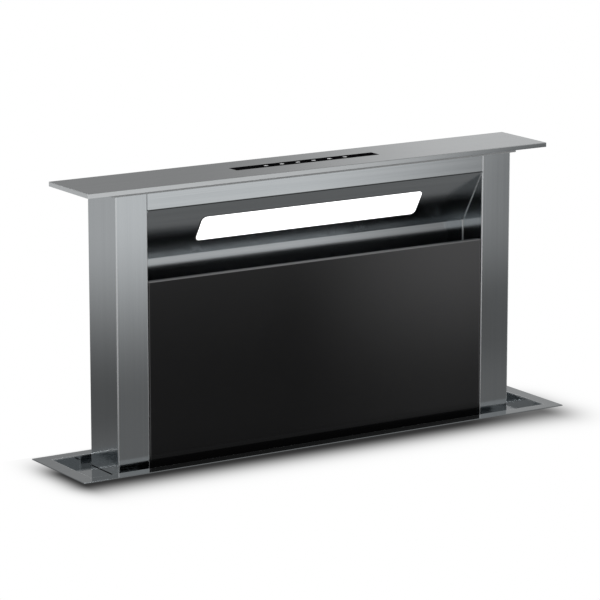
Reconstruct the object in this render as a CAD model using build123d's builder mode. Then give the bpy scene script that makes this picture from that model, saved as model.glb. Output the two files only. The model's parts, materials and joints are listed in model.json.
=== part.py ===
from build123d import *
import os
from math import cos, radians, sin

# A retractable downdraft vent for a worktop cut-out. Millimetres: X runs along the
# width, Y to the back and Z up. The origin lies on the worktop, under the middle of
# the flange. The tower is modelled raised, and sinks into the housing by lift_travel.

# ---- Driving dimensions ----

# Cap, the folded plate that closes the flange when the tower is down
cap_width = 900
cap_depth = 131
cap_thickness = 7.5
cap_sheet = 1.2
cap_corner = 1.6
cap_edge = 0.8
cap_base_sheet = 1.5
cap_overhang = 61.5
cap_seal_clear = 3
cap_seal_width = 4
rise = 456

# Touch strip in the cap
strip_width = 282
strip_depth = 26
strip_corner = 1
strip_y = 2
strip_glass = 3
board_thickness = 1.6
board_margin = 4
carrier_margin = 8

# Flange, a pressed tray that hangs in the cut-out
flange_sheet = 1.5
flange_corner = 1.5
rim_side = 25.5
rim_end = 23
recess_depth = 13.8
recess_corner = 2.5
cap_gap = 1
bend_radius = 0.8
opening_gap = 2

# Tower
column_width = 58.5
column_depth = 92
column_sheet = 1.2
column_corner = 1.8
tower_shift = 1.5
tower_tail = 110
rail_height = 35
rail_return = 15
slant_depth = 56
slant_drop = 92.5
tower_sheet = 1.2
tail_return = 12
ledge_drop = 68
carriage_height = 16
carriage_sheet = 2
carriage_lip = 10

# Light in the slanted sheet
window_width = 436
window_height = 52
window_corner = 9
diffuser_lip = 6
diffuser_lip_thickness = 1.5
light_box_depth = 14
light_board_width = 24
led_count = 16
led_size = 3.5
led_height = 0.8

# Front glass
glass_rise = 303.5
glass_foot = 30
glass_thickness = 5
glass_side_gap = 1.5
glass_bevel = 0.5
frame_bar = 22
frame_depth = 6
hook_sheet = 3
hook_reach = 14
hook_height = 26
hook_inset = 60
pin_radius = 3
pin_head_radius = 4.5
pin_head = 2
glass_lift = 12

# Grease filters and their tray
filter_depth = 9
filter_bar = 14
filter_core_inset = 2
filter_setback = 28
filter_gap = 1
shelf_gap = 1
tray_height = 16
tray_sheet = 1
tray_play = 1.5
latch_width = 30
latch_height = 16
latch_depth = 5
latch_travel = 5
tongue_width = 18
tongue_depth = 2.4
tongue_reach = 3
tongue_inset = 1
thumb_lip = 3

# Housing under the worktop
side_bay = 22
wall_play = 6
housing_sheet = 1.2
housing_return = 14
pan_lip = 15
top_flange = 10
stud_radius = 2
stud_length = 9
stud_count = 6
stud_inset = 37
nut_flats = 7
nut_height = 3.2
wiper_height = 4
wiper_reach = 16

# Lift: two toothed belts on one cross shaft
pulley_radius = 12
pulley_flange_radius = 15
pulley_flange = 1
belt_width = 10
belt_thickness = 1.8
belt_inset = 4.5
belt_y = -22
shaft_radius = 5
shaft_drop = 18
foot_room = 26
idler_drop = 22
idler_pin_radius = 4
idler_head_radius = 6
idler_head = 1.5
bush_radius = 7
bush_flange_radius = 11
bush_flange = 2
bush_length = 8
clamp_height = 20
clamp_wall = 4.5
clamp_lift = 30
rail_width = 14
rail_depth = 10
rail_y = 15
rail_end_gap = 8
rail_corner = 0.8
shoe_height = 26
shoe_wall = 5
shoe_wall_gap = 1.5
shoe_spread = 50
gearbox_size = 48
gearbox_depth = 34
gearbox_corner = 4
motor_radius = 21
motor_gap = 1
motor_length = 76
motor_cap = 9
motor_cap_inset = 3
shaft_stub = 3
shaft_chamfer = 0.6

# Blower on the front of the housing
box_width = 380
box_height = 350
box_depth = 176
box_lip = 12
blower_rise = 245
scroll_depth = 138
scroll_sheet = 1
scroll_start = 118
scroll_growth = 16
tongue_angle = 25
outlet_floor = 22
wheel_radius = 110
wheel_width = 92
wheel_inset = 12
blade_count = 32
blade_depth = 20
blade_thickness = 0.8
blade_sweep = 9
wheel_plate = 1.2
wheel_ring = 3
wheel_ring_step = 1
hub_radius = 14
hub_length = 22
eye_radius = 80
eye_flare = 14
eye_flange = 10
eye_lip = 3
fan_shaft_radius = 5
fan_motor_radius = 56
fan_motor_length = 62
fan_motor_gap = 4
fan_motor_grip = 20
fan_motor_flange = 66
fan_motor_flange_sheet = 3
fan_motor_corner = 5
fan_motor_play = 1
motor_plate_sheet = 1.5
collar_radius = 75
collar_length = 55
collar_sheet = 1.2
collar_flange_radius = 84
collar_stop = 4
flap_thickness = 1
flap_setback = 14
flap_play = 0.6
damper_pin_radius = 2
damper_knuckle = 3.4
damper_edge = 4.2
damper_weld = 1
knuckle_length = 20
knuckle_gap = 4

# Electrics
control_width = 150
control_height = 190
control_depth = 52
control_wall = 2
control_corner = 5
control_inset = 92
control_rise = 190
lid_thickness = 3
lid_bevel = 1
gland_radius = 9
gland_length = 16
gland_bore = 4.5
gland_cap_inset = 2
gland_thread_inset = 3
capacitor_radius = 17.5
capacitor_length = 62
capacitor_edge = 3
capacitor_x = -95

# Brackets down to the cabinet floor
bracket_width = 36
bracket_y = 38
bracket_height = 120
bracket_foot = 45
bracket_sheet = 2
bracket_drop = 40
foot_hole_radius = 2.75
foot_hole_spacing = 20
slot_width = 6.5
slot_length = 60
bolt_radius = 3
bolt_flats = 10
bolt_head = 4
bolt_rise = 50
bolt_spacing = 30
bolt_nut = 5

# Clearances
running_gap = 0.04
slide_gap = 0.3
fixed_gap = 0.05

# ---- Places worked out from them ----

rim_top = flange_sheet
recess_floor = rim_top - recess_depth
floor_under = recess_floor - flange_sheet
recess_width = cap_width + 2 * cap_gap
recess_length = cap_depth + 2 * cap_gap
flange_width = recess_width + 2 * rim_side
flange_depth = recess_length + 2 * rim_end
cap_bottom = rim_top + rise
cap_top = cap_bottom + cap_thickness
lift_travel = rise + cap_thickness
seal_thickness = recess_depth - cap_thickness - slide_gap

tower_width = cap_width - 2 * cap_overhang
tower_half = tower_width / 2
column_x = tower_half - column_width / 2
bay_half = tower_half - column_width
tower_front = tower_shift - column_depth / 2
tower_back = tower_shift + column_depth / 2
tower_bottom = floor_under - tower_tail
column_foot = tower_bottom + carriage_height
lowest_tail = tower_bottom - lift_travel

rail_bottom = cap_bottom - rail_height
slant_bottom = rail_bottom - slant_drop
slant_back = tower_front + slant_depth
ledge_top = slant_bottom - ledge_drop
glass_top = rim_top + glass_rise
glass_bottom = -glass_foot
glass_height = glass_top - glass_bottom
glass_middle = (glass_top + glass_bottom) / 2
glass_width = 2 * (bay_half - glass_side_gap)
glass_front = tower_front + slide_gap
frame_front = glass_front + glass_thickness
frame_back = frame_front + frame_depth
shelf_top = glass_bottom - shelf_gap
hook_grip = glass_lift - pin_radius
filter_front = tower_front + filter_setback
filter_back = filter_front + filter_depth
filter_foot = shelf_top + tray_sheet
filter_top = ledge_top - tower_sheet
filter_width = bay_half - tray_sheet - filter_gap
filter_middle = (filter_gap + filter_width) / 2
tray_back = filter_back + tray_play + tray_sheet

housing_half = tower_half + side_bay
inner_front = tower_front - wall_play
inner_back = tower_back + wall_play
side_front = inner_front - housing_sheet
side_back = inner_back + housing_sheet
outer_front = side_front - housing_sheet
outer_back = side_back + housing_sheet
side_outer = housing_half + housing_sheet
stud_pitch = 2 * (side_outer - stud_inset) / (stud_count - 1)
control_x = control_inset - side_outer
shaft_z = lowest_tail - shaft_drop - pulley_flange_radius
housing_bottom = shaft_z - pulley_flange_radius - foot_room
housing_height = floor_under - housing_bottom
idler_z = floor_under - idler_drop
belt_x = tower_half + belt_inset + belt_width / 2
belt_inner = pulley_radius + slide_gap
belt_outer = belt_inner + belt_thickness

blower_z = housing_bottom + blower_rise
box_front = outer_front - box_depth
scroll_front = outer_front - scroll_depth
wheel_back = outer_front - wheel_inset
wheel_front = wheel_back - wheel_width
collar_y = outer_front - box_depth / 2
scroll_end = scroll_start + 3 * scroll_growth
bolt_heights = (housing_bottom + bolt_rise, housing_bottom + bolt_rise + bolt_spacing)
collar_z = blower_z + scroll_end - collar_radius
flap_radius = collar_radius - collar_sheet - flap_play

# The slanted sheet's own plane: +X along the width, +Y up the slope, +Z to the cook
slant_plane = Plane(
    origin=(0, tower_front + slant_depth / 2, (rail_bottom + slant_bottom) / 2),
    x_dir=(1, 0, 0),
    z_dir=(0, -slant_drop, -slant_depth),
)


def block(x, y, z, mode=Mode.ADD):
    """A block between two corners, each axis given as (low, high)."""
    spans = (x, y, z)
    middle = tuple((low + high) / 2 for low, high in spans)
    with Locations(middle):
        Box(*(high - low for low, high in spans), mode=mode)


def ring(plane, middle, outer, inner, corner):
    """A rectangular ring's section on a plane: outer and inner are (width, depth)."""
    with BuildSketch(plane) as section:
        with Locations(middle):
            RectangleRounded(*outer, corner)
            RectangleRounded(*inner, corner, mode=Mode.SUBTRACT)
    return section.sketch


def bent_sheet(plane, points, thickness):
    """The section of a folded sheet that lies to the left of a line of points."""
    with BuildSketch(plane) as section:
        with BuildLine():
            Polyline(*points)
            offset(amount=thickness, side=Side.LEFT)
        make_face()
    return section.sketch


# ---- Cap ----

with BuildPart() as cap_plate:
    with BuildSketch(Plane.XY.offset(cap_bottom)):
        RectangleRounded(cap_width, cap_depth, cap_corner)
    extrude(amount=cap_thickness)
    fillet(cap_plate.faces().sort_by(Axis.Z)[-1].edges(), cap_edge)
    with BuildSketch(Plane.XY.offset(cap_bottom)):
        Rectangle(cap_width - 2 * cap_sheet, cap_depth - 2 * cap_sheet)
    extrude(amount=cap_thickness - cap_sheet, mode=Mode.SUBTRACT)
    with BuildSketch(Plane.XY.offset(cap_top)):
        with Locations((0, strip_y)):
            RectangleRounded(strip_width, strip_depth, strip_corner)
    extrude(amount=-cap_sheet, mode=Mode.SUBTRACT)

with BuildPart() as cap_base:
    with BuildSketch(Plane.XY.offset(cap_bottom)):
        Rectangle(cap_width - 2 * cap_sheet, cap_depth - 2 * cap_sheet)
        with GridLocations(2 * column_x, 0, 2, 1):
            Circle(column_width / 4, mode=Mode.SUBTRACT)
    extrude(amount=cap_base_sheet)

glass_floor = cap_top - strip_glass
board_floor = glass_floor - board_thickness
board_width = strip_width - 2 * board_margin
board_depth = strip_depth - board_margin

with BuildPart() as touch_glass:
    with BuildSketch(Plane.XY.offset(glass_floor)):
        with Locations((0, strip_y)):
            RectangleRounded(
                strip_width - 2 * fixed_gap, strip_depth - 2 * fixed_gap, strip_corner
            )
    extrude(amount=strip_glass)

with BuildPart() as touch_board:
    with BuildSketch(Plane.XY.offset(board_floor)):
        with Locations((0, strip_y)):
            Rectangle(board_width, board_depth)
    extrude(amount=board_thickness)

with BuildPart() as touch_carrier:
    with BuildSketch(Plane.XY.offset(cap_bottom + cap_base_sheet)):
        with Locations((0, strip_y)):
            Rectangle(strip_width + 2 * carrier_margin, strip_depth + 2 * carrier_margin)
    extrude(amount=cap_thickness - cap_sheet - cap_base_sheet)
    with BuildSketch(Plane.XY.offset(glass_floor)):
        with Locations((0, strip_y)):
            Rectangle(strip_width, strip_depth)
    extrude(amount=strip_glass, mode=Mode.SUBTRACT)
    with BuildSketch(Plane.XY.offset(board_floor)):
        with Locations((0, strip_y)):
            Rectangle(board_width, board_depth)
    extrude(amount=board_thickness, mode=Mode.SUBTRACT)

# The rubber seal hangs from the cap round the tower, and closes the flange's slot when down
seal_inner = (tower_width + 2 * cap_seal_clear, column_depth + 2 * cap_seal_clear)
seal_outer = (seal_inner[0] + 2 * cap_seal_width, seal_inner[1] + 2 * cap_seal_width)

with BuildPart() as cap_seal:
    extrude(
        ring(
            Plane.XY.offset(cap_bottom),
            (0, tower_shift),
            seal_outer,
            seal_inner,
            cap_corner,
        ),
        amount=-seal_thickness,
    )

# ---- Flange ----

opening_width = tower_width + 2 * opening_gap
opening_depth = column_depth + 2 * opening_gap

with BuildPart() as worktop_flange:
    with BuildSketch():
        RectangleRounded(flange_width, flange_depth, flange_corner)
    extrude(amount=flange_sheet)
    with BuildSketch(Plane.XY.offset(floor_under)):
        RectangleRounded(
            recess_width + 2 * flange_sheet,
            recess_length + 2 * flange_sheet,
            recess_corner + flange_sheet,
        )
    extrude(amount=-floor_under)
    with BuildSketch(Plane.XY.offset(recess_floor)):
        RectangleRounded(recess_width, recess_length, recess_corner)
    extrude(amount=recess_depth, mode=Mode.SUBTRACT)
    mouth = worktop_flange.edges().group_by(Axis.Z)[-1].sort_by(SortBy.DISTANCE)
    fillet(mouth[:8], bend_radius)
    with BuildSketch(Plane.XY.offset(floor_under)):
        with Locations((0, tower_shift)):
            RectangleRounded(opening_width, opening_depth, recess_corner)
    extrude(amount=flange_sheet, mode=Mode.SUBTRACT)
    stud_row = outer_back + top_flange / 2 - tower_shift
    with Locations((0, tower_shift, floor_under - stud_length / 2)):
        with GridLocations(stud_pitch, 2 * stud_row, stud_count, 2):
            Cylinder(stud_radius, stud_length)

# The rubber wiper under the recess floor: four strips butted together round the tower
wiper_inner = (tower_half + slide_gap, column_depth / 2 + slide_gap)
wiper_outer = (tower_half + wiper_reach, column_depth / 2 + wall_play - slide_gap)
wiper_z = (floor_under - wiper_height, floor_under)
strip_end = wiper_inner[1] - fixed_gap

with BuildPart() as tower_wiper:
    for side in (-1, 1):
        strip_x = sorted((side * wiper_inner[0], side * wiper_outer[0]))
        strip_edges = (tower_shift + side * wiper_inner[1], tower_shift + side * wiper_outer[1])
        block((-wiper_outer[0], wiper_outer[0]), sorted(strip_edges), wiper_z)
        block(strip_x, (tower_shift - strip_end, tower_shift + strip_end), wiper_z)

# ---- Tower ----

with BuildPart() as right_column:
    with BuildSketch(Plane.XY.offset(column_foot)):
        with Locations((column_x, tower_shift)):
            RectangleRounded(column_width, column_depth, column_corner)
            Rectangle(
                column_width - 2 * column_sheet,
                column_depth - 2 * column_sheet,
                mode=Mode.SUBTRACT,
            )
    extrude(amount=cap_bottom - column_foot)

with BuildPart() as left_column:
    mirror(right_column.part, about=Plane.YZ)

# The rail and the slanted sheet under it are one folded piece with a light window
with BuildPart() as light_fascia:
    fascia_line = (
        (tower_front + rail_return, cap_bottom),
        (tower_front, cap_bottom),
        (tower_front, rail_bottom),
        (slant_back, slant_bottom),
    )
    extrude(bent_sheet(Plane.YZ, fascia_line, tower_sheet), amount=bay_half, both=True)
    with BuildSketch(slant_plane):
        RectangleRounded(window_width, window_height, window_corner)
    extrude(amount=2 * tower_sheet, both=True, mode=Mode.SUBTRACT)

# The intake's back wall folds forward into the ledge over the filters
with BuildPart() as intake_back_wall:
    wall_line = (
        (slant_back, slant_bottom),
        (slant_back, ledge_top),
        (filter_front, ledge_top),
    )
    extrude(bent_sheet(Plane.YZ, wall_line, tower_sheet), amount=bay_half, both=True)
    for side in (-1, 1):
        tongue_x = side * filter_middle
        block(
            (tongue_x - tongue_width / 2 - slide_gap, tongue_x + tongue_width / 2 + slide_gap),
            (filter_front + tongue_inset, filter_front + tongue_inset + tongue_depth + 2 * slide_gap),
            (ledge_top - 2 * tower_sheet, ledge_top + tower_sheet),
            mode=Mode.SUBTRACT,
        )

with BuildPart() as rear_panel:
    rear_line = (
        (bay_half, tower_back - tail_return),
        (bay_half, tower_back),
        (-bay_half, tower_back),
        (-bay_half, tower_back - tail_return),
    )
    extrude(
        bent_sheet(Plane.XY.offset(column_foot), rear_line, tower_sheet),
        amount=cap_bottom - column_foot,
    )

# The panel under the glass folds back into the shelf that carries the grease tray
with BuildPart() as lower_panel:
    lower_line = (
        (tray_back, shelf_top),
        (tower_front, shelf_top),
        (tower_front, column_foot),
    )
    extrude(bent_sheet(Plane.YZ, lower_line, tower_sheet), amount=bay_half, both=True)

# The frame at the tower's foot ties the columns together
with BuildPart() as carriage_frame:
    frame_outer = (tower_width, column_depth)
    frame_inner = (tower_width - 2 * carriage_sheet, column_depth - 2 * carriage_sheet)
    lip_inner = (tower_width - 2 * carriage_lip, column_depth - 2 * carriage_lip)
    extrude(
        ring(
            Plane.XY.offset(tower_bottom),
            (0, tower_shift),
            frame_outer,
            frame_inner,
            column_corner,
        ),
        amount=carriage_height,
    )
    extrude(
        ring(
            Plane.XY.offset(column_foot - carriage_sheet),
            (0, tower_shift),
            frame_outer,
            lip_inner,
            column_corner,
        ),
        amount=carriage_sheet,
    )

# ---- Light ----

with BuildPart() as light_diffuser:
    with BuildSketch(slant_plane.offset(-tower_sheet - diffuser_lip_thickness)):
        Rectangle(window_width + 2 * diffuser_lip, window_height + 2 * diffuser_lip)
    extrude(amount=diffuser_lip_thickness)
    with BuildSketch(slant_plane.offset(-tower_sheet)):
        RectangleRounded(
            window_width - 2 * fixed_gap, window_height - 2 * fixed_gap, window_corner
        )
    extrude(amount=tower_sheet)

light_back = -tower_sheet - diffuser_lip_thickness
with BuildPart() as light_box:
    with BuildSketch(slant_plane.offset(light_back)):
        Rectangle(window_width + 2 * diffuser_lip, window_height + 2 * diffuser_lip)
    extrude(amount=-light_box_depth)
    with BuildSketch(slant_plane.offset(light_back)):
        Rectangle(
            window_width + 2 * diffuser_lip - 2 * tower_sheet,
            window_height + 2 * diffuser_lip - 2 * tower_sheet,
        )
    extrude(amount=tower_sheet - light_box_depth, mode=Mode.SUBTRACT)

board_plane = slant_plane.offset(light_back - light_box_depth + tower_sheet)
with BuildPart() as led_board:
    with BuildSketch(board_plane):
        Rectangle(window_width, light_board_width)
    extrude(amount=board_thickness)
    with BuildSketch(board_plane.offset(board_thickness)):
        with GridLocations(window_width / led_count, 0, led_count, 1):
            Rectangle(led_size, led_size)
    extrude(amount=led_height)

# ---- Front glass, which lifts off its pins ----

with BuildPart() as glass_panel:
    with BuildSketch(Plane.XZ.offset(-glass_front)):
        with Locations((0, glass_middle)):
            Rectangle(glass_width, glass_height)
    extrude(amount=-glass_thickness)
    chamfer(glass_panel.faces().sort_by(Axis.Y)[0].edges(), glass_bevel)

with BuildPart() as glass_frame:
    with BuildSketch(Plane.XZ.offset(-frame_front)):
        with Locations((0, glass_middle)):
            Rectangle(glass_width, glass_height)
            Rectangle(
                glass_width - 2 * frame_bar,
                glass_height - 2 * frame_bar,
                mode=Mode.SUBTRACT,
            )
    extrude(amount=-frame_depth)

pin_y = frame_back + hook_reach / 2
pin_heights = (glass_bottom + hook_inset, glass_top - hook_inset)
hook_x = bay_half - glass_side_gap - hook_sheet
pin_end = hook_x - slide_gap - pin_head

with BuildPart() as glass_hooks:
    for height in pin_heights:
        with BuildSketch(Plane.YZ.offset(hook_x)):
            with Locations((pin_y, height - hook_grip + hook_height / 2)):
                Rectangle(hook_reach, hook_height)
            with Locations((pin_y, height)):
                Circle(pin_radius + slide_gap, mode=Mode.SUBTRACT)
            with Locations((pin_y, height - hook_grip)):
                Rectangle(
                    2 * (pin_radius + slide_gap), 2 * hook_grip, mode=Mode.SUBTRACT
                )
        extrude(amount=hook_sheet)
    mirror(about=Plane.YZ)

with BuildPart() as glass_pins:
    for height in pin_heights:
        with BuildSketch(Plane.YZ.offset(pin_end)):
            with Locations((pin_y, height)):
                Circle(pin_head_radius)
        extrude(amount=pin_head)
        with BuildSketch(Plane.YZ.offset(pin_end + pin_head)):
            with Locations((pin_y, height)):
                Circle(pin_radius)
        extrude(amount=bay_half - pin_end - pin_head)
    mirror(about=Plane.YZ)

# ---- Grease filters, their latches and the tray ----

latch_foot = filter_top - latch_height
pocket_foot = latch_foot - latch_travel - slide_gap


def grease_filter(side):
    """One mesh filter in its frame, with the pocket in which its latch slides."""
    middle = side * filter_middle
    half = filter_width / 2
    with BuildPart() as piece:
        block(
            (middle - half, middle + half),
            (filter_front, filter_back),
            (filter_foot, filter_top),
        )
        for face in (filter_front, filter_back - filter_core_inset):
            block(
                (middle - half + filter_bar, middle + half - filter_bar),
                (face, face + filter_core_inset),
                (filter_foot + filter_bar, pocket_foot - tray_sheet),
                mode=Mode.SUBTRACT,
            )
        pocket_half = latch_width / 2 + slide_gap
        block(
            (middle - pocket_half, middle + pocket_half),
            (filter_front, filter_front + latch_depth + slide_gap),
            (pocket_foot, filter_top),
            mode=Mode.SUBTRACT,
        )
    return piece


def filter_latch(side):
    """A sprung latch: its tongue stands in the ledge's slot, and a lip takes a thumb."""
    middle = side * filter_middle
    half = latch_width / 2
    tongue_front = filter_front + tongue_inset + slide_gap
    with BuildPart() as piece:
        block(
            (middle - half, middle + half),
            (filter_front, filter_front + latch_depth),
            (latch_foot, filter_top - slide_gap),
        )
        block(
            (middle - tongue_width / 2, middle + tongue_width / 2),
            (tongue_front, tongue_front + tongue_depth),
            (filter_top - slide_gap, filter_top + tongue_reach),
        )
        block(
            (middle - half, middle + half),
            (filter_front - thumb_lip, filter_front),
            (latch_foot, latch_foot + thumb_lip),
        )
    return piece


left_grease_filter = grease_filter(-1)
right_grease_filter = grease_filter(1)
left_filter_latch = filter_latch(-1)
right_filter_latch = filter_latch(1)

with BuildPart() as grease_tray:
    tray_y = (frame_back + 2 * slide_gap, tray_back)
    block((-bay_half, bay_half), tray_y, (shelf_top, shelf_top + tray_height))
    block(
        (tray_sheet - bay_half, bay_half - tray_sheet),
        (tray_y[0] + tray_sheet, tray_y[1] - tray_sheet),
        (shelf_top + tray_sheet, shelf_top + tray_height),
        mode=Mode.SUBTRACT,
    )

# ---- Housing ----

with BuildPart() as right_side_panel:
    side_line = (
        (housing_half - housing_return, inner_front),
        (housing_half, inner_front),
        (housing_half, inner_back),
        (housing_half - housing_return, inner_back),
    )
    extrude(
        bent_sheet(Plane.XY.offset(housing_bottom), side_line[::-1], housing_sheet),
        amount=housing_height,
    )
    with BuildSketch(Plane.YZ.offset(housing_half)):
        with Locations((belt_y, shaft_z)):
            Circle(bush_radius + fixed_gap)
        with Locations((belt_y, idler_z)):
            Circle(idler_pin_radius + fixed_gap)
        for height in bolt_heights:
            with Locations((bracket_y, height)):
                Circle(bolt_radius + fixed_gap)
    extrude(amount=housing_sheet, mode=Mode.SUBTRACT)

with BuildPart() as left_side_panel:
    mirror(right_side_panel.part, about=Plane.YZ)

with BuildPart() as front_panel:
    with BuildSketch(Plane.XZ.offset(-side_front)):
        with Locations((0, (floor_under + housing_bottom) / 2)):
            Rectangle(2 * side_outer, housing_height)
        with Locations((0, blower_z)):
            Circle(eye_radius + eye_flare, mode=Mode.SUBTRACT)
    extrude(amount=housing_sheet)
    block(
        (-side_outer, side_outer),
        (outer_front - top_flange, outer_front),
        (floor_under - housing_sheet, floor_under),
    )
    with Locations((0, tower_shift - stud_row, floor_under)):
        with GridLocations(stud_pitch, 0, stud_count, 1):
            Hole(stud_radius + slide_gap, depth=housing_sheet)

with BuildPart() as back_panel:
    with BuildSketch(Plane.XZ.offset(-side_back)):
        with Locations((0, (floor_under + housing_bottom) / 2)):
            Rectangle(2 * side_outer, housing_height)
    extrude(amount=-housing_sheet)
    block(
        (-side_outer, side_outer),
        (outer_back, outer_back + top_flange),
        (floor_under - housing_sheet, floor_under),
    )
    with Locations((0, tower_shift + stud_row, floor_under)):
        with GridLocations(stud_pitch, 0, stud_count, 1):
            Hole(stud_radius + slide_gap, depth=housing_sheet)

with BuildPart() as bottom_pan:
    block(
        (-side_outer - housing_sheet, side_outer + housing_sheet),
        (outer_front - housing_sheet, outer_back + housing_sheet),
        (housing_bottom - housing_sheet, housing_bottom + pan_lip),
    )
    block(
        (-side_outer, side_outer),
        (outer_front, outer_back),
        (housing_bottom, housing_bottom + pan_lip),
        mode=Mode.SUBTRACT,
    )

with BuildPart() as flange_nuts:
    nut_top = floor_under - housing_sheet
    with BuildSketch(Plane.XY.offset(nut_top)):
        with Locations((0, tower_shift)):
            with GridLocations(stud_pitch, 2 * stud_row, stud_count, 2):
                RegularPolygon(nut_flats / 2, 6, major_radius=False)
                Circle(stud_radius + fixed_gap, mode=Mode.SUBTRACT)
    extrude(amount=-nut_height)

# ---- Lift ----

rail_inner = housing_half - rail_depth
rail_top = floor_under - rail_end_gap
rail_foot = housing_bottom + pan_lip + rail_end_gap
shoe_inner = rail_inner - shoe_wall - slide_gap
lower_shoe = column_foot + shoe_height / 2
upper_shoe = lower_shoe + shoe_spread

with BuildPart() as guide_rails:
    with BuildSketch(Plane.XY.offset(rail_foot)):
        with Locations((housing_half - rail_depth / 2, rail_y)):
            RectangleRounded(rail_depth, rail_width, rail_corner)
    extrude(amount=rail_top - rail_foot)
    mirror(about=Plane.YZ)

with BuildPart() as guide_shoes:
    shoe_y = (
        rail_y - rail_width / 2 - shoe_wall,
        rail_y + rail_width / 2 + shoe_wall,
    )
    for middle in (lower_shoe, upper_shoe):
        shoe_z = (middle - shoe_height / 2, middle + shoe_height / 2)
        block((tower_half, housing_half - shoe_wall_gap), shoe_y, shoe_z)
        block(
            (rail_inner - slide_gap, housing_half),
            (rail_y - rail_width / 2 - slide_gap, rail_y + rail_width / 2 + slide_gap),
            shoe_z,
            mode=Mode.SUBTRACT,
        )
    mirror(about=Plane.YZ)

belt_middle = (shaft_z + idler_z) / 2
belt_span = idler_z - shaft_z

with BuildPart() as lift_belts:
    with BuildSketch(Plane.YZ.offset(belt_x - belt_width / 2)):
        with Locations((belt_y, belt_middle)):
            SlotCenterToCenter(belt_span, 2 * belt_outer, rotation=90)
            SlotCenterToCenter(belt_span, 2 * belt_inner, rotation=90, mode=Mode.SUBTRACT)
    extrude(amount=belt_width)
    mirror(about=Plane.YZ)

# Each clamp holds its belt's front run and pulls the tower's side
run_y = belt_y - (belt_inner + belt_outer) / 2
clamp_foot = column_foot + clamp_lift
with BuildPart() as belt_clamps:
    clamp_half = belt_thickness / 2 + slide_gap + clamp_wall
    clamp_z = (clamp_foot, clamp_foot + clamp_height)
    slot_half = belt_thickness / 2 + slide_gap
    block(
        (tower_half, belt_x + belt_width / 2 + 2 * slide_gap),
        (run_y - clamp_half, run_y + clamp_half),
        clamp_z,
    )
    block(
        (belt_x - belt_width / 2 - slide_gap, housing_half),
        (run_y - slot_half, run_y + slot_half),
        clamp_z,
        mode=Mode.SUBTRACT,
    )
    mirror(about=Plane.YZ)


# The pulley's profile is turned about its own axis
barrel_half = belt_width / 2 + slide_gap
pulley_half = barrel_half + pulley_flange


def pulley_section(axis_z, bore):
    """Half a pulley's profile over its axis, which runs along X at belt_y."""
    plane = Plane(origin=(belt_x, belt_y, axis_z), x_dir=(1, 0, 0), z_dir=(0, -1, 0))
    with BuildSketch(plane) as section:
        with BuildLine():
            Polyline(
                (-pulley_half, bore),
                (-pulley_half, pulley_flange_radius),
                (-barrel_half, pulley_flange_radius),
                (-barrel_half, pulley_radius),
                (barrel_half, pulley_radius),
                (barrel_half, pulley_flange_radius),
                (pulley_half, pulley_flange_radius),
                (pulley_half, bore),
                close=True,
            )
        make_face()
    return section.sketch


shaft_axis = Axis((0, belt_y, shaft_z), (1, 0, 0))
idler_axis = Axis((0, belt_y, idler_z), (1, 0, 0))

with BuildPart() as drive_pulleys:
    revolve(pulley_section(shaft_z, shaft_radius + fixed_gap), axis=shaft_axis)
    mirror(about=Plane.YZ)

with BuildPart() as idler_pulleys:
    revolve(pulley_section(idler_z, idler_pin_radius + running_gap), axis=idler_axis)
    mirror(about=Plane.YZ)

with BuildPart() as idler_pins:
    pin_start = belt_x - pulley_half - slide_gap
    with BuildSketch(Plane.YZ.offset(pin_start)):
        with Locations((belt_y, idler_z)):
            Circle(idler_pin_radius)
    extrude(amount=side_outer - pin_start)
    with BuildSketch(Plane.YZ.offset(side_outer)):
        with Locations((belt_y, idler_z)):
            Circle(idler_head_radius)
    extrude(amount=idler_head)
    mirror(about=Plane.YZ)

shaft_left = -side_outer - shaft_stub
shaft_right = side_outer + gearbox_depth / 2
with BuildPart() as drive_shaft:
    with BuildSketch(Plane.YZ.offset(shaft_left)):
        with Locations((belt_y, shaft_z)):
            Circle(shaft_radius)
    extrude(amount=shaft_right - shaft_left)
    chamfer(drive_shaft.edges().filter_by(GeomType.CIRCLE), shaft_chamfer)

with BuildPart() as shaft_bushes:
    bush_start = housing_half - bush_flange
    with BuildSketch(Plane.YZ.offset(bush_start)):
        with Locations((belt_y, shaft_z)):
            Circle(bush_flange_radius)
    extrude(amount=bush_flange)
    with BuildSketch(Plane.YZ.offset(housing_half)):
        with Locations((belt_y, shaft_z)):
            Circle(bush_radius)
    extrude(amount=housing_sheet)
    with BuildSketch(Plane.YZ.offset(bush_start)):
        with Locations((belt_y, shaft_z)):
            Circle(shaft_radius + running_gap)
    extrude(amount=bush_length, mode=Mode.SUBTRACT)
    mirror(about=Plane.YZ)

with BuildPart() as lift_gearbox:
    with BuildSketch(Plane.YZ.offset(side_outer)):
        with Locations((belt_y, shaft_z)):
            RectangleRounded(gearbox_size, gearbox_size, gearbox_corner)
    extrude(amount=gearbox_depth)
    with BuildSketch(Plane.YZ.offset(side_outer)):
        with Locations((belt_y, shaft_z)):
            Circle(shaft_radius + running_gap)
    extrude(amount=gearbox_depth / 2 + slide_gap, mode=Mode.SUBTRACT)

with BuildPart() as lift_motor:
    motor_foot = shaft_z + gearbox_size / 2
    with BuildSketch(Plane.XY.offset(motor_foot)):
        with Locations((side_outer + motor_radius + motor_gap, belt_y)):
            Circle(motor_radius)
    extrude(amount=motor_length)
    with BuildSketch(Plane.XY.offset(motor_foot + motor_length)):
        with Locations((side_outer + motor_radius + motor_gap, belt_y)):
            Circle(motor_radius - motor_cap_inset)
    extrude(amount=motor_cap)

# ---- Blower ----

inner_width = box_width - 2 * housing_sheet
inner_height = box_height - 2 * housing_sheet
box_x = (-box_width / 2, box_width / 2)
box_z = (blower_z - box_height / 2, blower_z + box_height / 2)

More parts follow.
